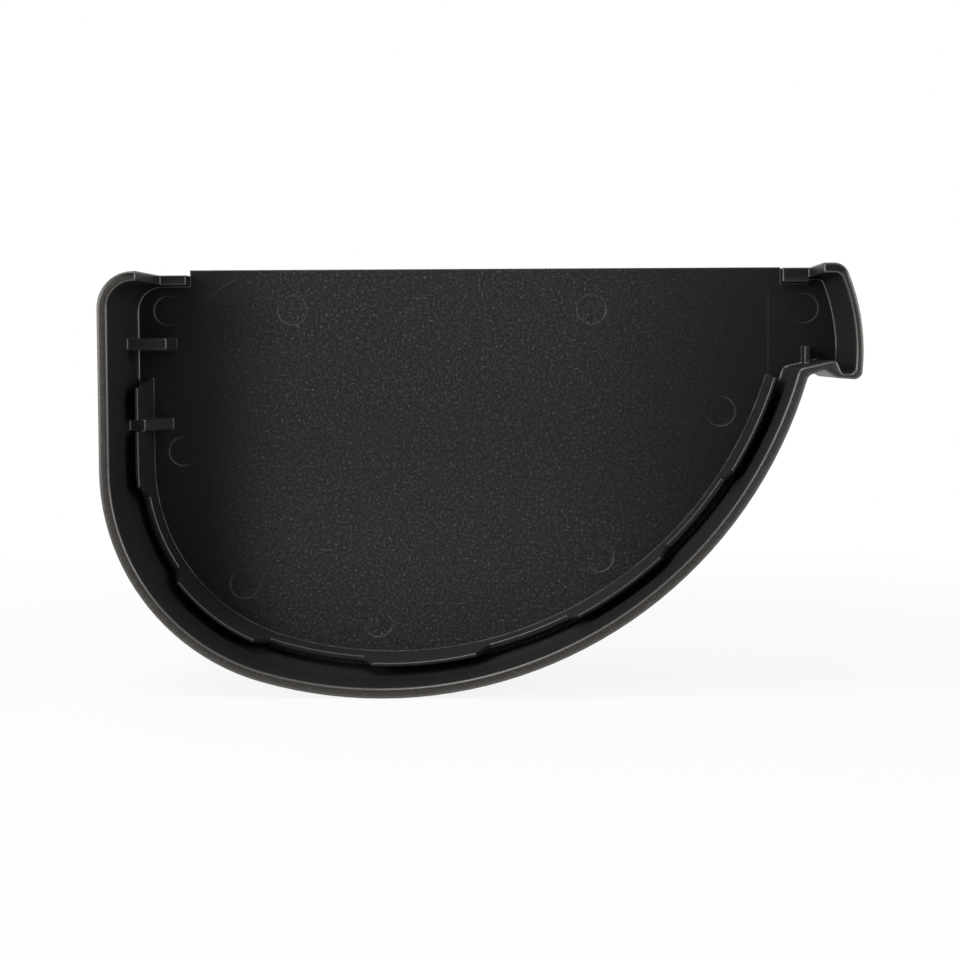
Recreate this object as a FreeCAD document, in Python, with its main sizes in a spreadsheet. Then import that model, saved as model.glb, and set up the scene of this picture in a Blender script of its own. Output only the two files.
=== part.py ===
import FreeCAD, Part
import math
import os
import re

import Sketcher

# A moulded end cap for a bowl-shaped gutter with a hooked front bead.
# X is the width, Z is up with 0 at the hook's top, and Y is the depth:
# the plate's inner face lies at Y 0 and the skirt runs from it towards -Y.

os.makedirs("parts", exist_ok=True)
doc = FreeCAD.newDocument("EndCap")
table = doc.addObject("Spreadsheet::Sheet", "Sizes")
values = {}


def size(alias, value, note):
    # writes one driving size, in millimetres or degrees
    row = str(len(values) + 1)
    table.set("A" + row, note)
    table.set("B" + row, str(value))
    table.setAlias("B" + row, alias)
    values[alias] = value
    return value


# Overall body
sideReach = size("sideReach", 73.66, "mid-width to the tall side's outer face")
skirtDepth = size("skirtDepth", 28.0, "skirt beyond the plate's inner face")
plateThickness = size("plateThickness", 2.0, "end plate")
wallThickness = size("wallThickness", 2.05, "skirt wall along the bowl")
cornerRadius = size("cornerRadius", 7.2, "tall side's outer top corner")
topWall = size("topWall", 1.95, "short wall along the top edge")
cornerDrop = size("cornerDrop", 0.9, "tall side's top below the hook's top")
bowlDrop = size("bowlDrop", 39.6, "hook's top to the centre of the small arc")
bowlRadius = size("bowlRadius", 42.69, "small arc of the bowl, outer face")
bowlTurn = size("bowlTurn", 74.3, "angle swept by the small arc")
sweepRadius = size("sweepRadius", 85.65, "large arc of the bowl, outer face")
sweepTurn = size("sweepTurn", 90.0, "angle swept by the large arc")

# Hook over the bead, measured from the neck where the large arc ends
hookRun = size("hookRun", 3.0, "neck to the hollow under the hook")
hookRise = size("hookRise", 0.96, "hollow above the neck")
toeRun = size("toeRun", 5.5, "neck to the start of the toe")
toeDrop = size("toeDrop", 0.5, "start of the toe below the neck")
hookDrop = size("hookDrop", 0.84, "underside of the toe below the neck")
hookRadius = size("hookRadius", 40.0, "outer face of the hook")
hookTopRun = size("hookTopRun", 6.62, "neck to the top of that face")
hookSoleRun = size("hookSoleRun", 10.05, "neck to the foot of that face")
hookWall = size("hookWall", 1.4, "outer wall of the hook")
toeWall = size("toeWall", 1.2, "floor of the toe")
neckWall = size("neckWall", 1.3, "inner corner above the neck")
ledgeRun = size("ledgeRun", 5.3, "neck to the edge of the inner ledge")
ledgeRise = size("ledgeRise", 2.96, "inner ledge above the neck")
toeInset = size("toeInset", 0.9, "inner toe corner past the outer one")
neckRounding = size("neckRounding", 1.5, "both faces of the neck")
hollowRounding = size("hollowRounding", 0.8, "hollow under the hook and inner toe corner")
toeRounding = size("toeRounding", 1.6, "outer corners of the toe")
toeInnerRounding = size("toeInnerRounding", 1.05, "inner end of the toe")
hookCorner = size("hookCorner", 3.0, "outer top corner of the hook")
ledgeRounding = size("ledgeRounding", 0.7, "edge of the inner ledge")

# Opening along the top between two low lips
wallEndLeft = size("wallEndLeft", 7.76, "tall side's outer face to the end of its wall")
wallEndRight = size("wallEndRight", 2.69, "neck to the end of the hook's wall")
lipLength = size("lipLength", 5.3, "low lip beyond each wall end")
lipHeight = size("lipHeight", 5.0, "low lip above the plate")
brimRise = size("brimRise", 0.3, "plate's top edge above the hook's top")

# Rib standing inside the skirt, with low stretches
slotWidth = size("slotWidth", 1.8, "gap from skirt to rib at the plate")
ribThickness = size("ribThickness", 1.3, "rib at the plate")
ribHeight = size("ribHeight", 14.0, "tall stretches")
ribLow = size("ribLow", 6.5, "low stretches")
ribDraft = size("ribDraft", 1.2, "slope of each rib face")
ribStart = size("ribStart", 21.8, "hook's top to the rib's upper end")
ribSlant = size("ribSlant", 2.0, "run of the slope at the rib's upper end")
ribEndTurn = size("ribEndTurn", 1.1, "angle from the rib's end to the neck")
rampRun = size("rampRun", 2.6, "run of each slope from tall to low")
lowAngleA = size("lowAngleA", 21.8, "middle of low stretch A round the small arc")
lowSpanA = size("lowSpanA", 15.6, "length of low stretch A")
lowAngleB = size("lowAngleB", 5.1, "middle of low stretch B round the large arc")
lowSpanB = size("lowSpanB", 19.4, "length of low stretch B")
lowAngleC = size("lowAngleC", 36.5, "middle of low stretch C round the large arc")
lowSpanC = size("lowSpanC", 16.8, "length of low stretch C")
lowAngleD = size("lowAngleD", 66.4, "middle of low stretch D round the large arc")
lowSpanD = size("lowSpanD", 17.2, "length of low stretch D")
cutMargin = size("cutMargin", 3.0, "how far the cutting shapes pass the rib's faces")

# Bars and stub that tie the skirt to the plate
barDrop = size("barDrop", 13.75, "hook's top to the upper bar")
barWidth = size("barWidth", 2.3, "both bars")
barReach = size("barReach", 8.0, "upper bar beyond the skirt")
barHeight = size("barHeight", 10.4, "upper bar above the plate")
braceDrop = size("braceDrop", 30.2, "hook's top to the lower brace")
braceTop = size("braceTop", 3.1, "flat top of the brace beyond the skirt")
braceReach = size("braceReach", 7.2, "foot of the brace beyond the skirt")
braceHeight = size("braceHeight", 9.0, "brace above the plate")
nibRun = size("nibRun", 1.8, "neck to the stub on the ledge")
nibWidth = size("nibWidth", 1.1, "stub")
nibRise = size("nibRise", 5.6, "top of the stub above the neck")
nibHeight = size("nibHeight", 5.5, "stub above the plate")

# Round marks left by the ejector pins
pinDiameter = size("pinDiameter", 6.0, "pin mark")
pinDepth = size("pinDepth", 0.12, "pin mark below the plate's face")
pinInset = size("pinInset", 11.15, "pin centres inside the bowl's outer face")
pinRowDrop = size("pinRowDrop", 8.0, "hook's top to the upper row of pins")
rowTallEnd = size("rowTallEnd", 8.46, "tall side's outer face to the first mark of the row")
rowLeft = size("rowLeft", 34.21, "tall side's outer face to the second mark of the row")
rowRight = size("rowRight", 41.0, "third mark of the row back to the neck")
rowHookEnd = size("rowHookEnd", 2.1, "neck to the fourth mark of the row")
markTurnA = size("markTurnA", 4.6, "first mark above the middle height of the small arc")
markTurnB = size("markTurnB", 52.9, "second mark round the small arc")
markTurnC = size("markTurnC", 13.6, "first mark round the large arc")
markTurnD = size("markTurnD", 51.0, "second mark round the large arc")
markTurnE = size("markTurnE", 81.3, "third mark round the large arc")

# Small roundings and bevels
rimRounding = size("rimRounding", 0.45, "edges of the skirt's rim")
footRounding = size("footRounding", 0.4, "skirt where it meets the plate")
backBevel = size("backBevel", 0.5, "outer edge of the plate")
barRounding = size("barRounding", 0.3, "free edges of the upper bar")

doc.recompute()

# Points of a drawn edge, and the number that stands for a sketch's own origin
START, END, CENTRE = 1, 2, 3
ORIGIN = -1


def named(text):
    # points every size name in an expression at the spreadsheet
    def swap(word):
        return "Sizes." + word.group() if word.group() in values else word.group()
    return re.sub(r"[A-Za-z]+", swap, text)


def bind(item, path, text):
    item.setExpression(path, named(text))


def newBody(name, label):
    body = doc.addObject("PartDesign::Body", name)
    body.Label = label
    return body


def newSketch(body, name, role, offset="0"):
    # a sketch on one of the body's own origin planes, moved along its normal
    sketch = body.newObject("Sketcher::SketchObject", name)
    plane = next(item for item in body.Origin.OriginFeatures if item.Role == role)
    sketch.AttachmentSupport = [(plane, "")]
    sketch.MapMode = "FlatFace"
    bind(sketch, "AttachmentOffset.Base.z", offset)
    return sketch


def addLine(sketch, start, end):
    first = FreeCAD.Vector(start[0], start[1], 0)
    last = FreeCAD.Vector(end[0], end[1], 0)
    return sketch.addGeometry(Part.LineSegment(first, last), False)


def addArc(sketch, centre, radius, startAngle, endAngle):
    # an arc that runs anticlockwise between two angles in degrees
    circle = Part.Circle(FreeCAD.Vector(centre[0], centre[1], 0), FreeCAD.Vector(0, 0, 1), radius)
    arc = Part.ArcOfCircle(circle, math.radians(startAngle), math.radians(endAngle))
    return sketch.addGeometry(arc, False)


def relate(sketch, kind, *where):
    sketch.addConstraint(Sketcher.Constraint(kind, *where))


def drive(sketch, name, text, kind, *where):
    # a measured constraint that follows an expression
    index = sketch.addConstraint(Sketcher.Constraint(kind, *where))
    sketch.renameConstraint(index, name)
    bind(sketch, "Constraints." + name, text)


def across(sketch, name, text, start, end):
    # sets how far apart two drawn points are sideways
    gap = sketch.getPoint(*end).x - sketch.getPoint(*start).x
    drive(sketch, name, text, "DistanceX", *start, *end, gap)


def upward(sketch, name, text, start, end):
    # sets how far the second drawn point is above the first
    gap = sketch.getPoint(*end).y - sketch.getPoint(*start).y
    drive(sketch, name, text, "DistanceY", *start, *end, gap)


def join(sketch, edges):
    # joins the end of each edge to the start of the next one
    for here, there in zip(edges, edges[1:]):
        relate(sketch, "Coincident", here, END, there, START)


def polar(centre, radius, angle):
    turn = math.radians(angle)
    return (centre[0] + radius * math.cos(turn), centre[1] + radius * math.sin(turn))


def dressEdges(body, kind, name, path, amount, chosen):
    # rounds or bevels every edge of the body so far that passes the test
    doc.recompute()
    base = body.Tip
    edges = ["Edge" + str(number + 1) for number, edge in enumerate(base.Shape.Edges) if chosen(edge)]
    item = body.newObject("PartDesign::" + kind, name)
    item.Base = (base, edges)
    bind(item, path, amount)
    doc.recompute()


def roundEdges(body, name, radius, chosen):
    dressEdges(body, "Fillet", name, "Radius", radius, chosen)


def roundCorners(body, name, radius, places):
    # rounds the edges that run along Y at the given (X, Z) places
    def stands(edge):
        ends = [vertex.Point for vertex in edge.Vertexes]
        level = len(ends) == 2 and math.hypot(ends[0].x - ends[1].x, ends[0].z - ends[1].z) < 0.001
        return level and any(math.hypot(ends[0].x - x, ends[0].z - z) < 0.01 for x, z in places)
    roundEdges(body, name, radius, stands)


def place(sketch, edge, end):
    # where a drawn point lies once the sketch is solved
    point = sketch.getPoint(edge, end)
    return (point.x, point.y)


def liesAt(edge, depth):
    # tells whether a whole edge lies at one depth along Y
    box = edge.BoundBox
    return abs(box.YMin - depth) < 0.001 and abs(box.YMax - depth) < 0.001


def arcCentre(start, end, radius):
    # the centre of an arc that runs anticlockwise between two points
    run, rise = end[0] - start[0], end[1] - start[1]
    chord = math.hypot(run, rise)
    reach = math.sqrt(radius ** 2 - chord ** 2 / 4) / chord
    return ((start[0] + end[0]) / 2 - rise * reach, (start[1] + end[1]) / 2 + run * reach)


# Where the two arcs of the bowl, the neck and the hook's arc stand
bowlCentre = (bowlRadius - sideReach, -bowlDrop)
sweepCentre = polar(bowlCentre, bowlRadius - sweepRadius, 180 + bowlTurn)
neckAngle = 180 + bowlTurn + sweepTurn
neck = polar(sweepCentre, sweepRadius, neckAngle)
hookFoot = (neck[0] + hookSoleRun, neck[1] - hookDrop)
hookTop = (neck[0] + hookTopRun, 0)
hookCentre = arcCentre(hookFoot, hookTop, hookRadius)


def arcAngle(centre, radius, height):
    # the angle at which an arc's right side passes one height
    return math.degrees(math.asin((height - centre[1]) / radius))


def drawBowl(sketch, tag, inset, insetText, drop, dropText, endAngle):
    # draws the tall side and both arcs of the bowl, inset from the outer face
    side = addLine(sketch, (inset - sideReach, -drop), (inset - sideReach, -bowlDrop))
    small = addArc(sketch, bowlCentre, bowlRadius - inset, 180, 180 + bowlTurn)
    large = addArc(sketch, sweepCentre, sweepRadius - inset, 180 + bowlTurn, endAngle)
    relate(sketch, "Vertical", side)
    relate(sketch, "Tangent", side, END, small, START)
    relate(sketch, "Tangent", small, END, large, START)
    across(sketch, tag + "CentreX", "sideReach - bowlRadius", (small, CENTRE), (ORIGIN, START))
    upward(sketch, tag + "CentreZ", "bowlDrop", (small, CENTRE), (ORIGIN, START))
    drive(sketch, tag + "Small", "bowlRadius - " + insetText, "Radius", small, bowlRadius - inset)
    drive(sketch, tag + "Large", "sweepRadius - " + insetText, "Radius", large, sweepRadius - inset)
    drive(sketch, tag + "Turn", "bowlTurn * 1 deg", "Angle", small, math.radians(bowlTurn))
    upward(sketch, tag + "Drop", dropText, (side, START), (ORIGIN, START))
    return side, small, large


shell = newBody("Shell", "end_cap")

# Outer outline, run anticlockwise from the tall side's top corner
outline = newSketch(shell, "Outline", "XZ_Plane", "-plateThickness")
openLeft = wallEndLeft - sideReach
openRight = neck[0] + wallEndRight
leftLip = openLeft + lipLength
rightLip = openRight - lipLength
hollow = (neck[0] + hookRun, neck[1] + hookRise)
toe = (neck[0] + toeRun, neck[1] - toeDrop)
soleAngle = arcAngle(hookCentre, hookRadius, neck[1] - hookDrop)
lidAngle = arcAngle(hookCentre, hookRadius, 0)
side, small, large = drawBowl(outline, "bowl", 0, "0", cornerDrop, "cornerDrop", neckAngle)
rise = addLine(outline, neck, hollow)
fall = addLine(outline, hollow, toe)
sole = addLine(outline, toe, hookFoot)
face = addArc(outline, hookCentre, hookRadius, soleAngle, lidAngle)
lid = addLine(outline, hookTop, (rightLip, 0))
stepUp = addLine(outline, (rightLip, 0), (rightLip, brimRise))
brim = addLine(outline, (rightLip, brimRise), (leftLip, brimRise))
stepDown = addLine(outline, (leftLip, brimRise), (leftLip, -cornerDrop))
shoulder = addLine(outline, (leftLip, -cornerDrop), (-sideReach, -cornerDrop))
join(outline, [large, rise, fall, sole, face, lid, stepUp, brim, stepDown, shoulder, side])
for level in (lid, brim, shoulder):
    relate(outline, "Horizontal", level)
for upright in (stepUp, stepDown):
    relate(outline, "Vertical", upright)
drive(outline, "sweepTurn", "sweepTurn * 1 deg", "Angle", large, math.radians(sweepTurn))
across(outline, "hookRun", "hookRun", (large, END), (rise, END))
upward(outline, "hookRise", "hookRise", (large, END), (rise, END))
across(outline, "toeRun", "toeRun", (large, END), (fall, END))
upward(outline, "toeDrop", "toeDrop", (fall, END), (large, END))
upward(outline, "hookDrop", "hookDrop", (sole, END), (large, END))
drive(outline, "hookRadius", "hookRadius", "Radius", face, hookRadius)
across(outline, "hookTopRun", "hookTopRun", (large, END), (face, END))
across(outline, "hookSoleRun", "hookSoleRun", (large, END), (face, START))
relate(outline, "PointOnObject", lid, START, ORIGIN)
across(outline, "rightLip", "lipLength - wallEndRight", (lid, END), (large, END))
upward(outline, "brimRise", "brimRise", (stepUp, START), (stepUp, END))
across(outline, "leftLip", "wallEndLeft + lipLength", (shoulder, END), (brim, END))


def measure(name, kind, start, end, value):
    # reads a distance off the outline, for the other sketches to follow
    index = outline.addConstraint(Sketcher.Constraint(kind, *start, *end, value))
    outline.setDriving(index, False)
    outline.renameConstraint(index, name)
    return "Outline.Constraints." + name + " / 1 mm"


origin = (ORIGIN, START)
neckX = measure("neckX", "DistanceX", origin, (large, END), neck[0])
neckZ = measure("neckZ", "DistanceY", (large, END), origin, -neck[1])
hookX = measure("hookX", "DistanceX", origin, (face, CENTRE), hookCentre[0])
hookZ = measure("hookZ", "DistanceY", (face, CENTRE), origin, -hookCentre[1])
doc.recompute()

block = shell.newObject("PartDesign::Pad", "Block")
block.Profile = outline
bind(block, "Length", "plateThickness + skirtDepth")
corner = place(outline, shoulder, END)
neckOutside = place(outline, large, END)
hollowOutside = place(outline, rise, END)
toeOutside = [place(outline, fall, END), place(outline, sole, END)]
hookOutside = place(outline, face, END)

# Inner outline: the bowl's faces inset by the wall, then the hook's own inner faces
cavity = newSketch(shell, "Cavity", "XZ_Plane")
wall = wallThickness
innerTop = topWall + cornerDrop
innerNeck = neck[1] + neckWall
innerNeckAngle = 360 + arcAngle(sweepCentre, sweepRadius - wall, innerNeck)
innerTopText = "topWall + cornerDrop"
side, small, large = drawBowl(cavity, "bowl", wall, "wallThickness", innerTop, innerTopText, innerNeckAngle)
ledge = (neck[0] + ledgeRun, neck[1] + ledgeRise)
floorHeight = neck[1] - hookDrop + toeWall
toeCorner = (neck[0] + toeRun + toeInset, floorHeight)
innerRadius = hookRadius - hookWall
floorAngle = arcAngle(hookCentre, innerRadius, floorHeight)
ceilingAngle = arcAngle(hookCentre, innerRadius, -topWall)
shelf = addLine(cavity, polar(sweepCentre, sweepRadius - wall, innerNeckAngle), ledge)
dip = addLine(cavity, ledge, toeCorner)
floor = addLine(cavity, toeCorner, polar(hookCentre, innerRadius, floorAngle))
face = addArc(cavity, hookCentre, innerRadius, floorAngle, ceilingAngle)
lid = addLine(cavity, polar(hookCentre, innerRadius, ceilingAngle), (openRight, -topWall))
drop = addLine(cavity, (openRight, -topWall), (openRight, -innerTop))
ceiling = addLine(cavity, (openRight, -innerTop), (wall - sideReach, -innerTop))
join(cavity, [large, shelf, dip, floor, face, lid, drop, ceiling, side])
for level in (floor, lid, ceiling):
    relate(cavity, "Horizontal", level)
relate(cavity, "Vertical", drop)
upward(cavity, "innerNeck", neckZ + " - neckWall", (large, END), origin)
across(cavity, "ledgeX", neckX + " + ledgeRun", origin, (shelf, END))
upward(cavity, "ledgeZ", neckZ + " - ledgeRise", (shelf, END), origin)
across(cavity, "toeX", neckX + " + toeRun + toeInset", origin, (dip, END))
upward(cavity, "toeZ", neckZ + " + hookDrop - toeWall", (dip, END), origin)
drive(cavity, "innerHook", "hookRadius - hookWall", "Radius", face, innerRadius)
across(cavity, "hookCentreX", hookX, origin, (face, CENTRE))
upward(cavity, "hookCentreZ", hookZ, (face, CENTRE), origin)
upward(cavity, "lidZ", "topWall", (lid, START), origin)
across(cavity, "openRight", neckX + " + wallEndRight", origin, (lid, END))
doc.recompute()

hollowOut = shell.newObject("PartDesign::Pocket", "HollowOut")
hollowOut.Profile = cavity
hollowOut.Reversed = True
bind(hollowOut, "Length", "skirtDepth")
roundCorners(shell, "TallInside", "cornerRadius - wallThickness", [place(cavity, ceiling, END)])
roundCorners(shell, "NeckInside", "neckRounding", [place(cavity, large, END)])
roundCorners(shell, "LedgeEdge", "ledgeRounding", [place(cavity, shelf, END)])
roundCorners(shell, "ToeCorner", "hollowRounding", [place(cavity, dip, END)])
roundCorners(shell, "ToeInside", "toeInnerRounding", [place(cavity, floor, END)])
roundCorners(shell, "HookInside", "hookCorner - hookWall", [place(cavity, face, END)])
roundCorners(shell, "TallCorner", "cornerRadius", [corner])
roundCorners(shell, "NeckOutside", "neckRounding", [neckOutside])
roundCorners(shell, "HollowOutside", "hollowRounding", [hollowOutside])
roundCorners(shell, "ToeOutside", "toeRounding", toeOutside)
roundCorners(shell, "HookCorner", "hookCorner", [hookOutside])
roundEdges(shell, "SkirtFoot", "footRounding", lambda edge: liesAt(edge, 0))

# Opening along the top, seen from above, with a low lip left at each end
opening = newSketch(shell, "Opening", "XY_Plane", "brimRise")
rimEdge = -skirtDepth - cutMargin
corners = [
    (openLeft, rimEdge),
    (openLeft, -lipHeight),
    (leftLip, -lipHeight),
    (leftLip, 0),
    (rightLip, 0),
    (rightLip, -lipHeight),
    (openRight, -lipHeight),
    (openRight, rimEdge),
]
rims = [addLine(opening, here, there) for here, there in zip(corners, corners[1:] + corners[:1])]
join(opening, rims + rims[:1])
for number, edge in enumerate(rims):
    relate(opening, "Horizontal" if number % 2 else "Vertical", edge)
across(opening, "openLeft", "sideReach - wallEndLeft", (rims[0], START), origin)
upward(opening, "rimSide", "skirtDepth + cutMargin", (rims[0], START), origin)
upward(opening, "lipLeft", "lipHeight", (rims[1], START), origin)
across(opening, "leftLip", "lipLength", (rims[1], START), (rims[1], END))
upward(opening, "plateSide", "0", origin, (rims[3], START))
across(opening, "rightLip", "lipLength", (rims[5], START), (rims[5], END))
upward(opening, "lipRight", "lipHeight", (rims[5], START), origin)
across(opening, "openRight", neckX + " + wallEndRight", origin, (rims[6], START))
doc.recompute()
opened = shell.newObject("PartDesign::Pocket", "Opened")
opened.Profile = opening
bind(opened, "Length", "brimRise + topWall + cornerDrop + footRounding * 2")
roundEdges(shell, "Rim", "rimRounding", lambda edge: liesAt(edge, -skirtDepth))


def standsBack(edge):
    # the plate's outer edge, left sharp along the stepped top
    return liesAt(edge, plateThickness) and edge.BoundBox.ZMin < -cornerDrop - 0.1


dressEdges(shell, "Chamfer", "Back", "Size", "backBevel", standsBack)

# Rib: a band inside the skirt, started within the plate so that the two bodies overlap
rib = newBody("Rib", "rib")
band = newSketch(rib, "Band", "XZ_Plane", "-plateThickness / 2")
outerInset = wallThickness + slotWidth
innerInset = outerInset + ribThickness
ribEnd = neckAngle - ribEndTurn
outerText = "(wallThickness + slotWidth)"
innerText = "(wallThickness + slotWidth + ribThickness)"
outerEdges = drawBowl(band, "outer", outerInset, outerText, ribStart, "ribStart", ribEnd)
innerEdges = drawBowl(band, "inner", innerInset, innerText, ribStart, "ribStart", ribEnd)
side, small, large = outerEdges
innerSide, innerSmall, innerLarge = innerEdges
outerTip = polar(sweepCentre, sweepRadius - outerInset, ribEnd)
innerTip = polar(sweepCentre, sweepRadius - innerInset, ribEnd)
tip = addLine(band, outerTip, innerTip)
head = addLine(band, (innerInset - sideReach, -ribStart), (outerInset - sideReach, -ribStart))
relate(band, "Coincident", large, END, tip, START)
relate(band, "Coincident", tip, END, innerLarge, END)
relate(band, "Coincident", innerSide, START, head, START)
relate(band, "Coincident", head, END, side, START)
spanText = "(sweepTurn - ribEndTurn) * 1 deg"
span = math.radians(sweepTurn - ribEndTurn)
for tag, arc in (("outer", large), ("inner", innerLarge)):
    drive(band, tag + "Span", spanText, "Angle", arc, span)
doc.recompute()
wallOfRib = rib.newObject("PartDesign::Pad", "Wall")
wallOfRib.Profile = band
bind(wallOfRib, "Length", "ribHeight + plateThickness / 2")
bind(wallOfRib, "TaperAngle", "-ribDraft")
doc.recompute()

# Low stretches: wedges wider at the top, each turned to its own place round the bowl
smallX, smallZ = "bowlRadius - sideReach", "-bowlDrop"
largeX = smallX + " + (sweepRadius - bowlRadius) * cos(bowlTurn * 1 deg)"
largeZ = smallZ + " + (sweepRadius - bowlRadius) * sin(bowlTurn * 1 deg)"


def cutLow(letter, radius, turn, centreX, centreZ):
    item = rib.newObject("PartDesign::SubtractiveWedge", "Low" + letter)
    turned = FreeCAD.Rotation(FreeCAD.Vector(0, 1, 0), 90)
    item.Placement = FreeCAD.Placement(FreeCAD.Vector(0, 0, 0), turned)
    bind(item, "Placement.Base.x", centreX)
    bind(item, "Placement.Base.z", centreZ)
    bind(item, "Placement.Rotation.Angle", "180 - " + turn + "lowAngle" + letter)
    outer = radius + " - " + outerText
    half = "lowSpan" + letter + " / 2"
    flare = half + " + rampRun * (ribHeight + cutMargin - ribLow) / (ribHeight - ribLow)"
    bind(item, "Ymin", "-ribHeight - cutMargin")
    bind(item, "Ymax", "-ribLow")
    for end in ("Xmin", "X2min"):
        bind(item, end, outer + " - ribThickness - cutMargin")
    for end in ("Xmax", "X2max"):
        bind(item, end, outer + " + cutMargin")
    bind(item, "Zmin", "-(" + flare + ")")
    bind(item, "Zmax", flare)
    bind(item, "Z2min", "-" + half)
    bind(item, "Z2max", half)
    doc.recompute()


cutLow("A", "bowlRadius", "", smallX, smallZ)
for letter in ("B", "C", "D"):
    cutLow(letter, "sweepRadius", "bowlTurn - ", largeX, largeZ)

# Sloped upper end of the rib, and the gap that the brace fills
headCut = rib.newObject("PartDesign::SubtractiveWedge", "HeadCut")
bind(headCut, "Placement.Base.x", outerText + " - sideReach")
bind(headCut, "Placement.Base.z", "-ribStart")
bind(headCut, "Ymin", "-ribHeight")
bind(headCut, "Ymax", "0")
for end in ("Xmin", "X2min"):
    bind(headCut, end, "-cutMargin")
for end in ("Xmax", "X2max"):
    bind(headCut, end, "ribThickness + cutMargin")
bind(headCut, "Zmin", "-ribSlant")
bind(headCut, "Z2min", "0")
for end in ("Zmax", "Z2max"):
    bind(headCut, end, "cutMargin")
doc.recompute()
gap = rib.newObject("PartDesign::SubtractiveBox", "Gap")
bind(gap, "Placement.Base.x", outerText + " - sideReach - cutMargin")
bind(gap, "Placement.Base.y", "-ribHeight - cutMargin")
bind(gap, "Placement.Base.z", "-braceDrop - barWidth")
bind(gap, "Length", "ribThickness + cutMargin * 2")
bind(gap, "Width", "ribHeight + cutMargin - braceHeight")
bind(gap, "Height", "barWidth")
doc.recompute()

fused = shell.newObject("PartDesign::Boolean", "RibJoined")
fused.Type = "Fuse"
fused.addObjects([rib])
doc.recompute()

# Upper bar and lower brace between the skirt and the plate, let into both a little
bar = shell.newObject("PartDesign::AdditiveBox", "Bar")
bind(bar, "Placement.Base.x", "wallThickness / 2 - sideReach")
bind(bar, "Placement.Base.y", "-barHeight")
bind(bar, "Placement.Base.z", "-barDrop - barWidth")
bind(bar, "Length", "wallThickness / 2 + barReach")
bind(bar, "Width", "barHeight + plateThickness / 2")
bind(bar, "Height", "barWidth")


def freeOnBar(edge):
    # the bar's top edges and the upright ones at its free end
    box = edge.BoundBox
    level = box.ZMin > -barDrop - barWidth - 0.01 and box.ZMax < -barDrop + 0.01
    atEnd = abs(box.XMax + sideReach - wallThickness - barReach) < 0.001
    return level and atEnd and box.YMin < -barHeight / 2


roundEdges(shell, "BarEdges", "barRounding", freeOnBar)
brace = shell.newObject("PartDesign::AdditiveWedge", "Brace")
bind(brace, "Placement.Base.x", "wallThickness - sideReach")
bind(brace, "Placement.Base.z", "-braceDrop - barWidth")
bind(brace, "Ymin", "-braceHeight")
bind(brace, "Ymax", "0.1")
for end in ("Xmin", "X2min"):
    bind(brace, end, "-wallThickness / 2")
bind(brace, "Xmax", "braceTop")
bind(brace, "X2max", "braceReach")
for end in ("Zmin", "Z2min"):
    bind(brace, end, "0")
for end in ("Zmax", "Z2max"):
    bind(brace, end, "barWidth")
doc.recompute()
nib = shell.newObject("PartDesign::AdditiveBox", "Nib")
bind(nib, "Placement.Base.x", "Outline.Constraints.neckX + nibRun * 1 mm")
bind(nib, "Placement.Base.y", "-nibHeight")
bind(nib, "Placement.Base.z", "(hookRise + ledgeRise) / 2 * 1 mm - Outline.Constraints.neckZ")
bind(nib, "Length", "nibWidth")
bind(nib, "Width", "nibHeight + plateThickness / 2")
bind(nib, "Height", "nibRise - (hookRise + ledgeRise) / 2")
doc.recompute()

# Shallow round marks: four in a row near the top, five that follow the bowl
marks = newSketch(shell, "Marks", "XZ_Plane")


def addMark(name, centre, radius):
    circle = Part.Circle(FreeCAD.Vector(centre[0], centre[1], 0), FreeCAD.Vector(0, 0, 1), radius)
    mark = marks.addGeometry(circle, False)
    drive(marks, name + "Size", "pinDiameter", "Diameter", mark, radius * 2)
    return mark


def addRowMark(name, x, text):
    mark = addMark(name, (x, -pinRowDrop), pinDiameter / 2)
    upward(marks, name + "Z", "pinRowDrop", (mark, CENTRE), origin)
    across(marks, name + "X", text, origin, (mark, CENTRE))


addRowMark("rowA", rowTallEnd - sideReach, "rowTallEnd - sideReach")
addRowMark("rowB", rowLeft - sideReach, "rowLeft - sideReach")
addRowMark("rowC", neck[0] - rowRight, neckX + " - rowRight")
addRowMark("rowD", neck[0] + rowHookEnd, neckX + " + rowHookEnd")


def addBowlMark(name, centre, radius, turn, xText, zText):
    # one mark at an angle round an arc, counted from the tall side
    x, z = polar(centre, radius, 180 + turn)
    mark = addMark(name, (x, z), pinDiameter / 2)
    across(marks, name + "X", xText, origin, (mark, CENTRE))
    upward(marks, name + "Z", zText, origin, (mark, CENTRE))


def markSmall(name, turn, text):
    reach = " - (bowlRadius - pinInset) * "
    xText = smallX + reach + "cos((" + text + ") * 1 deg)"
    zText = smallZ + reach + "sin((" + text + ") * 1 deg)"
    addBowlMark(name, bowlCentre, bowlRadius - pinInset, turn, xText, zText)


def markLarge(name, turn, text):
    reach = " - (sweepRadius - pinInset) * "
    xText = largeX + reach + "cos((bowlTurn + " + text + ") * 1 deg)"
    zText = largeZ + reach + "sin((bowlTurn + " + text + ") * 1 deg)"
    addBowlMark(name, sweepCentre, sweepRadius - pinInset, bowlTurn + turn, xText, zText)


markSmall("bowlA", -markTurnA, "-markTurnA")
markSmall("bowlB", markTurnB, "markTurnB")
markLarge("bowlC", markTurnC, "markTurnC")
markLarge("bowlD", markTurnD, "markTurnD")
markLarge("bowlE", markTurnE, "markTurnE")
doc.recompute()
pressed = shell.newObject("PartDesign::Pocket", "Pressed")
pressed.Profile = marks
bind(pressed, "Length", "pinDepth")
doc.recompute()

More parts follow.
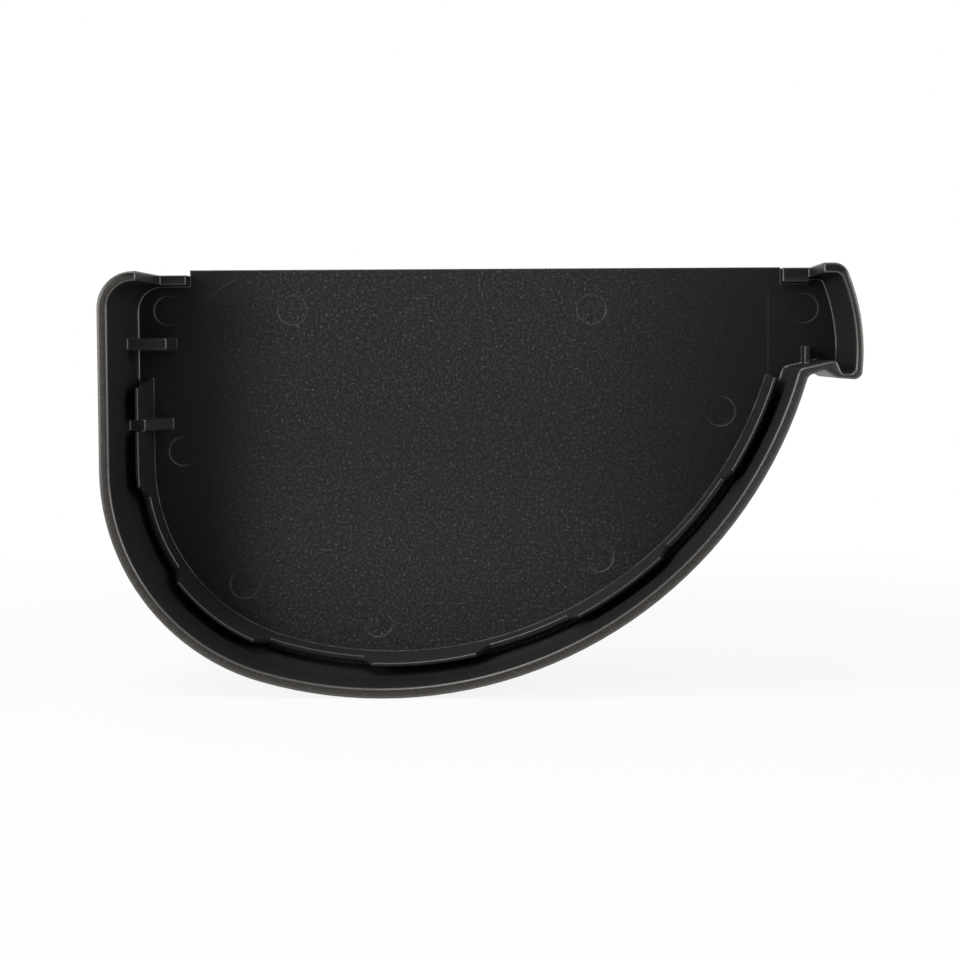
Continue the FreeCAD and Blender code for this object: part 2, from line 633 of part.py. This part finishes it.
for item in doc.Objects:
    if "Invalid" in item.State or "Error" in item.State:
        raise RuntimeError(item.Name + " did not build: " + str(item.State))
for item in (rib, shell):
    if item.Shape.isNull() or not item.Shape.isValid():
        raise RuntimeError(item.Label + " is not a sound shape")
shell.Shape.exportStep("parts/end_cap.step")
print("end_cap", len(shell.Shape.Solids), "solid", round(shell.Shape.Volume), "cubic millimetres")
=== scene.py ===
import math

import bpy
from mathutils import Matrix, Vector


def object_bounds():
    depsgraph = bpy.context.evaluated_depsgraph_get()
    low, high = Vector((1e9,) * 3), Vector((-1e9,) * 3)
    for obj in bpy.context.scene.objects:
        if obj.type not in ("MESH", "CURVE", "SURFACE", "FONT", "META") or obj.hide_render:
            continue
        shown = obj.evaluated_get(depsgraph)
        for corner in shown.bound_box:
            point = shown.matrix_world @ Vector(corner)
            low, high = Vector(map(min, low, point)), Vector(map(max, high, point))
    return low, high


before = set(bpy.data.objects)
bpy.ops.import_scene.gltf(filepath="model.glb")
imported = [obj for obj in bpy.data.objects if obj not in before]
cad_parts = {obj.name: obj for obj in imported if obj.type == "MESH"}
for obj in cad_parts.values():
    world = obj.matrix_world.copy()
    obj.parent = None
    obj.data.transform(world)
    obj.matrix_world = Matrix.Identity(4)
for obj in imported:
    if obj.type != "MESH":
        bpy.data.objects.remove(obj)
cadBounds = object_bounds()
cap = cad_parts["end_cap"]
print("frame loaded")


class Socket:
    # a node's output, so that shader maths reads as plain expressions
    def __init__(self, tree, link):
        self.tree, self.link = tree, link

    def math(self, operation, first, second=0):
        return self.tree.node("ShaderNodeMath", {"operation": operation}, [first, second])

    def __add__(self, other):
        return self.math("ADD", self, other)

    def __radd__(self, other):
        return self.math("ADD", other, self)

    def __sub__(self, other):
        return self.math("SUBTRACT", self, other)

    def __rsub__(self, other):
        return self.math("SUBTRACT", other, self)

    def __mul__(self, other):
        return self.math("MULTIPLY", self, other)

    def __rmul__(self, other):
        return self.math("MULTIPLY", other, self)

    def __abs__(self):
        return self.math("ABSOLUTE", self)

    def larger(self, other):
        return self.math("MAXIMUM", self, other)

    def smaller(self, other):
        return self.math("MINIMUM", self, other)

    def out(self, key):
        return Socket(self.tree, self.link.node.outputs[key])


class Shader:
    # the node tree of one material or world
    def __init__(self, owner):
        owner.use_nodes = True
        self.nodes, self.links = owner.node_tree.nodes, owner.node_tree.links
        self.nodes.clear()

    def node(self, kind, settings=None, inputs=None):
        made = self.nodes.new(kind)
        for name, value in (settings or {}).items():
            setattr(made, name, value)
        pairs = enumerate(inputs) if isinstance(inputs, list) else (inputs or {}).items()
        for key, value in pairs:
            if isinstance(value, Socket):
                self.links.new(value.link, made.inputs[key])
            else:
                made.inputs[key].default_value = value
        return Socket(self, made.outputs[0]) if made.outputs else None

    def mix(self, factor, first, second):
        # blends two colours
        inputs = {0: factor, 6: first, 7: second}
        return self.node("ShaderNodeMix", {"data_type": "RGBA"}, inputs).out(2)

    def smooth(self, value, low, high):
        # rises smoothly from 0 to 1 between two values
        inputs = [value, low, high, 0, 1]
        return self.node("ShaderNodeMapRange", {"interpolation_type": "SMOOTHSTEP"}, inputs)

    def noise(self, place, scale, detail):
        inputs = {"Vector": place, "Scale": scale, "Detail": detail}
        return self.node("ShaderNodeTexNoise", None, inputs)

    def vector(self, operation, first, second=(0, 0, 0)):
        return self.node("ShaderNodeVectorMath", {"operation": operation}, [first, second])

    def split(self, vector):
        first = self.node("ShaderNodeSeparateXYZ", None, [vector])
        return first, first.out("Y"), first.out("Z")


# Faint lines that the mould's inserts leave on the plate, in metres
inserts = {
    "width": (0.00004, 0.00016),
    "arc": {
        "centre": (-0.0425, 0, -0.0205), "radius": 0.0207,
        "span": (-0.0582, -0.0500), "bottom": (-0.0080, -0.0070),
    },
    "seam": {"x": 0.0581, "span": (-0.0217, -0.0036)},
    "softEnd": 0.002,
    "strength": 0.14,
}


def between(tree, value, low, high):
    # 1 between two values and 0 outside, with soft ends
    soft = inserts["softEnd"]
    return tree.smooth(value, low, low + soft) * (1 - tree.smooth(value, high - soft, high))


def insertLines(tree, place, x, z):
    arc, seam = inserts["arc"], inserts["seam"]
    reach = tree.vector("DISTANCE", place, arc["centre"]).out("Value")
    curve = 1 - tree.smooth(abs(reach - arc["radius"]), *inserts["width"])
    curve = curve * between(tree, x, *arc["span"]) * tree.smooth(z, *arc["bottom"])
    line = 1 - tree.smooth(abs(x - seam["x"]), *inserts["width"])
    return (curve + line * between(tree, z, *seam["span"])) * inserts["strength"]


# Fine stipple that covers the middle of the plate
stipple = {
    "colour": (0.0199, 0.0195, 0.0188),
    "warm": (1.06, 1.00, 0.93, 1),  # tints that drift through it
    "cool": (0.97, 1.00, 1.05, 1),
    "grainScale": 1900,  # per metre, about half a millimetre from speck to speck
    "glintScale": 1710,
    "driftScale": 420,
    "specks": (0.44, 0.66),  # the part of each noise that shows
    # the glints are painted highlights: bright specks put into the colour
    "glints": (0.64, 0.82),
    "drift": (0.35, 0.65),
    "shares": (0.58, 0.70, 1.6),  # of the ground, the specks and the glints
    "left": (-0.0605, -0.0380),  # where it fades in from the tall side; the darker fade there is painted shadow of the tall wall as well as the stipple's edge
    "right": (0.012, 0.058),  # where it fades out towards the hook; the darkening is painted shade where the lamp's sheen falls off
    "rightLoss": 0.92,
    "low": (0.030, 0.065),  # depth below the top over which it gets a little lighter, as painted light
    "lowPaintedLight": 0.30,
    "roughness": 0.50,
}


def stippleColour(tree, z, specks, glints, drift):
    tint = tree.mix(tree.smooth(drift, *stipple["drift"]), stipple["warm"], stipple["cool"])
    ground, speckShare, glintShare = stipple["shares"]
    depth = ground + specks * speckShare + glints * glintShare
    depth = depth * (1 + tree.smooth(0 - z, *stipple["low"]) * stipple["lowPaintedLight"])
    return tree.vector("MULTIPLY", tree.vector("MULTIPLY", stipple["colour"], tint), depth)


def stippleSpreadWithPaintedShade(tree, x):
    # how much of the stipple is left from side to side; its fades carry painted shadow and
    # painted sheen
    fade = tree.smooth(x, *stipple["right"]) * stipple["rightLoss"]
    return tree.smooth(x, *stipple["left"]) * (1 - fade)


# Rim of the skirt: rough on top, with a crown that gleams on both sides, mirroring more and
# painted paler there, around a darker band of painted shade
rim = {
    "colour": (0.056, 0.051, 0.046, 1),
    "crownRadius": 0.0010,  # how far its top looks rounded
    "depth": (0.0271, 0.0276),  # metres in front of the plate's face
    "centre": (-0.012, -0.028, -0.012),  # tells the outer half from the inner half
    "innerGleam": (-0.54, -0.30),  # how far the crown leans outwards
    "dipEnd": (-0.12, 0.12),
    "outerGleam": (0.08, 0.34),
    "dipPaintedShade": 0.5,
    "speckShare": 0.25,
    "hookward": (0.025, 0.060),  # it is darker towards the hook
    "hookLoss": 0.4,
    "roughness": 0.06,
}


def rimProfile(tree, crown, outward):
    # the parts of the rim's width that gleam, mirroring more and painted paler, and the part
    # painted darker as shade
    lean = tree.vector("DOT_PRODUCT", crown, outward).out("Value")
    offInner = tree.smooth(lean, *rim["innerGleam"])
    gleam = tree.smooth(lean, *rim["outerGleam"]) + 1 - offInner
    return gleam, offInner * (1 - tree.smooth(lean, *rim["dipEnd"]))


# Moulded plastic, near black and satin, with polished edges that mirror more and are painted
# paler as highlights, and painted light and shade in places
plastic = {
    "walls": (0.0188, 0.0186, 0.0188, 1),
    "paintedGrooveLight": (0.0285, 0.0282, 0.0280, 1),  # painted light: faces near the plate that look towards the bowl's middle, on the rib's inner side and the skirt's wall in the groove, as pale as the stipple
    "smooth": (0.0072, 0.0072, 0.0074, 1),  # the plate's unstippled ends and the lips, dark: on the lips painted shade, on the plate's ends partly painted shade
    "edges": (0.116, 0.113, 0.108, 1),  # also how strongly they mirror; this paler colour is partly a painted highlight
    "edgeShare": 0.8,
    "plateDepth": (0.0004, 0.0009),  # metres off the plate's face where its finish ends
    "ribDepth": (0.0142, 0.0160),
    "ribFacing": (-0.75, -0.45),  # how far a face looks away from the bowl's middle
    "lipHeight": (-0.0026, -0.0014),  # above this the top is painted darker, as shade
    "edgeRadius": 0.0005,
    "edgeTurn": (0.012, 0.05),  # how far the surface turns before it is polished, mirrors more and is painted paler as a highlight
    "filletFrom": (0.12, 0.30),  # how far a fillet faces along Y
    "filletTo": (0.96, 0.985),
    "plateEdgeLoss": 0.65,  # edges on the plate are fainter, less so in patches
    "patchScale": 200,
    "patches": (0.42, 0.60),
    "patchGain": 0.45,
    "speckShades": (0.90, 0.20),
    "roughness": 0.34,
    "roughnessDrift": 0.06,
    "polishedRoughness": 0.24,
    "wallGrain": 0.15,
    "bump": {"Strength": 0.45, "Distance": 0.00005},
    "ior": 1.20,
}


def bevelled(tree, radius):
    # the normal as if edges were rounded to a radius
    return tree.node("ShaderNodeBevel", {"samples": 12}, {"Radius": radius})


# painted light: a paler colour on faces near the plate that look towards the bowl's middle
def paintedGrooveLightMask(tree, y, facing, outward):
    away = tree.vector("DOT_PRODUCT", facing, outward).out("Value")
    nearPlate = 1 - tree.smooth(abs(y), *plastic["ribDepth"])
    return nearPlate * (1 - tree.smooth(away, *plastic["ribFacing"]))


def mirroringPaintedEdges(tree, place, rounded, facing, onPlate):
    turned = 1 - tree.vector("DOT_PRODUCT", rounded, facing).out("Value")
    patches = tree.smooth(tree.noise(place, plastic["patchScale"], 1.0), *plastic["patches"])
    faint = onPlate * (1 - patches * plastic["patchGain"]) * plastic["plateEdgeLoss"]
    edge = tree.smooth(turned, *plastic["edgeTurn"]) * (1 - faint)
    along = abs(tree.split(facing)[1])
    fillet = tree.smooth(along, *plastic["filletFrom"])
    return edge, fillet * (1 - tree.smooth(along, *plastic["filletTo"]))


def makePlastic():
    material = bpy.data.materials.new("moulded_plastic")
    tree = Shader(material)
    place = tree.node("ShaderNodeTexCoord").out("Object")
    x, y, z = tree.split(place)
    onPlate = 1 - tree.smooth(abs(y), *plastic["plateDepth"])
    lip = tree.smooth(z, *plastic["lipHeight"])
    onRim = tree.smooth(0 - y, *rim["depth"]) * (1 - lip)
    grain = tree.noise(place, stipple["grainScale"], 2.0)
    specks = tree.smooth(grain, *stipple["specks"])
    glints = tree.smooth(tree.noise(place, stipple["glintScale"], 0.0), *stipple["glints"])
    drift = tree.noise(place, stipple["driftScale"], 3.0)
    lines = insertLines(tree, place, x, z) * onPlate
    spreadWithPaintedShade = stippleSpreadWithPaintedShade(tree, x)

    facing = tree.node("ShaderNodeNewGeometry").out("Normal")
    outward = tree.vector("NORMALIZE", tree.vector("SUBTRACT", place, rim["centre"]))
    rounded = bevelled(tree, plastic["edgeRadius"])
    crown = bevelled(tree, rim["crownRadius"])
    edge, fillet = mirroringPaintedEdges(tree, place, rounded, facing, onPlate)
    gleam, paintedDip = rimProfile(tree, crown, outward)
    edge = (edge * (1 - onRim) + gleam * onRim).larger(fillet)

    # the plate's unstippled ends and the painted-shade lips take the dark colour
    bareAndShadedLip = onPlate + lip - onPlate * lip
    paintedGrooveLightShare = spreadWithPaintedShade * paintedGrooveLightMask(tree, y, facing, outward)
    plain = tree.mix(paintedGrooveLightShare, plastic["walls"], plastic["paintedGrooveLight"])
    plain = tree.mix(bareAndShadedLip, plain, plastic["smooth"])
    rimShare = onRim * (1 - rim["speckShare"] + specks * rim["speckShare"])
    rimShare = rimShare * (1 - tree.smooth(x, *rim["hookward"]) * rim["hookLoss"])
    plain = tree.mix(rimShare, plain, rim["colour"])
    shade, speckShade = plastic["speckShades"]
    # the rim's darker band is painted shade
    shades = (shade + specks * speckShade) * (1 - onRim * paintedDip * rim["dipPaintedShade"])
    plain = tree.vector("MULTIPLY", plain, shades)
    stippled = stippleColour(tree, z, specks, glints, drift)
    colour = tree.mix(onPlate * spreadWithPaintedShade, plain, stippled)
    # edges take the paler colour, partly a painted highlight, and the insert lines are drawn in
    # it
    colour = tree.mix(edge * plastic["edgeShare"] + lines, colour, plastic["edges"])

    roughness = plastic["roughness"] + onPlate * (stipple["roughness"] - plastic["roughness"])
    roughness = roughness + onRim * rim["roughness"] + drift * plastic["roughnessDrift"]
    roughness = roughness - edge * (roughness - plastic["polishedRoughness"])
    bump = tree.node("ShaderNodeBump", None, {
        **plastic["bump"],
        "Height": grain * (plastic["wallGrain"] + onPlate + onRim) + lines,
        "Normal": tree.mix(onRim, rounded, crown),
    })
    surface = tree.node("ShaderNodeBsdfPrincipled", None, {
        "Base Color": colour,
        "Roughness": roughness,
        "IOR": plastic["ior"],
        "Metallic": edge * plastic["edgeShare"],
        "Normal": bump,
    })
    tree.node("ShaderNodeOutputMaterial", None, {"Surface": surface})
    return material


cap.data.materials.clear()
cap.data.materials.append(makePlastic())
print("plastic made")

# White studio: a floor, a pale world and soft lamps that look at the bowl
studio = {
    "worldLevel": 0.30,
    "floorSize": 8,
    "floorColour": (0.9, 0.9, 0.9, 1),
    "shadowShare": 0.12,  # how much of the object's shadow the white floor keeps
    "shadowReach": (0.10, 0.30),  # metres from the object over which it fades to plain white
    "aim": (0, 0, -0.04),
    "lamps": {
        "left": {
            "place": (-0.62, -0.85, 0.22), "size": (0.22, 0.32), "power": 5.5, "glossy": False,
        },
        "side": {
            "place": (-0.80, -0.48, 0.05), "size": (0.6, 0.7), "power": 4.8, "glossy": True,
        },
        "right": {
            "place": (0.95, -0.30, 0.25), "size": (0.5, 0.7), "power": 4.2, "glossy": True,
        },
        "top": {
            "place": (-0.35, -0.30, 0.95), "size": (0.5, 0.4), "power": 3.6, "glossy": True,
        },
        "front": {
            "place": (0.05, -1.30, 0.05), "size": (0.9, 0.9), "power": 3.2, "glossy": False,
        },
    },
}


def seenWhite(tree):
    # 1 for rays from the camera, and for those that show the background in gloss or through glass
    path = tree.node("ShaderNodeLightPath")
    return (path + path.out("Is Glossy Ray") + path.out("Is Transmission Ray")).smaller(1)


def makeFloor():
    place = (0, 0, cadBounds[0][2])
    bpy.ops.mesh.primitive_plane_add(size=studio["floorSize"], location=place)
    floor = bpy.context.object
    floor.name = "floor"
    material = bpy.data.materials.new("white_floor")
    tree = Shader(material)
    matt = tree.node("ShaderNodeBsdfDiffuse", None, {"Color": studio["floorColour"]})
    white = tree.node("ShaderNodeEmission", None, {"Color": (1, 1, 1, 1), "Strength": 1.0})
    reach = tree.vector("LENGTH", tree.node("ShaderNodeTexCoord").out("Object")).out("Value")
    kept = studio["shadowShare"] * (1 - tree.smooth(reach, *studio["shadowReach"]))
    inputs = [seenWhite(tree) * (1 - kept), matt, white]
    surface = tree.node("ShaderNodeMixShader", None, inputs)
    tree.node("ShaderNodeOutputMaterial", None, {"Surface": surface})
    floor.data.materials.append(material)


def makeWorld():
    world = bpy.data.worlds.new("studio")
    bpy.context.scene.world = world
    tree = Shader(world)
    level = seenWhite(tree) * (1 - studio["worldLevel"]) + studio["worldLevel"]
    sky = tree.node("ShaderNodeBackground", None, {"Color": (1, 1, 1, 1), "Strength": level})
    tree.node("ShaderNodeOutputWorld", None, {"Surface": sky})


def addLamp(name, spec):
    data = bpy.data.lights.new(name, "AREA")
    data.shape, data.energy = "RECTANGLE", spec["power"]
    data.size, data.size_y = spec["size"]
    lamp = bpy.data.objects.new(name, data)
    bpy.context.collection.objects.link(lamp)
    lamp.location = spec["place"]
    lamp.visible_glossy = spec["glossy"]
    aim = Vector(studio["aim"]) - Vector(spec["place"])
    lamp.rotation_euler = aim.to_track_quat("-Z", "Y").to_euler()


makeFloor()
makeWorld()
for name, spec in studio["lamps"].items():
    addLamp(name, spec)
print("studio made")

# Camera: in front of the open side, a little right of the middle and below the top edge
view = {
    "place": (0.01783, -0.4115, -0.0168),
    "turnLeft": 2.60,  # degrees
    "tiltDown": 3.65,
    "roll": 0.2,
    "lens": 75,  # mm, on a 36 mm sensor
}


def addCamera():
    data = bpy.data.cameras.new("camera")
    data.lens, data.sensor_width, data.clip_start = view["lens"], 36, 0.01
    camera = bpy.data.objects.new("camera", data)
    bpy.context.collection.objects.link(camera)
    turn, tilt, roll = (math.radians(view[key]) for key in ("turnLeft", "tiltDown", "roll"))
    level = Matrix.Rotation(turn, 4, "Z") @ Matrix.Rotation(math.pi / 2 - tilt, 4, "X")
    rolled = level @ Matrix.Rotation(-roll, 4, "Z")
    camera.matrix_world = Matrix.Translation(view["place"]) @ rolled
    bpy.context.scene.camera = camera


addCamera()
bpy.context.scene.view_settings.view_transform = "Standard"
print("camera placed")
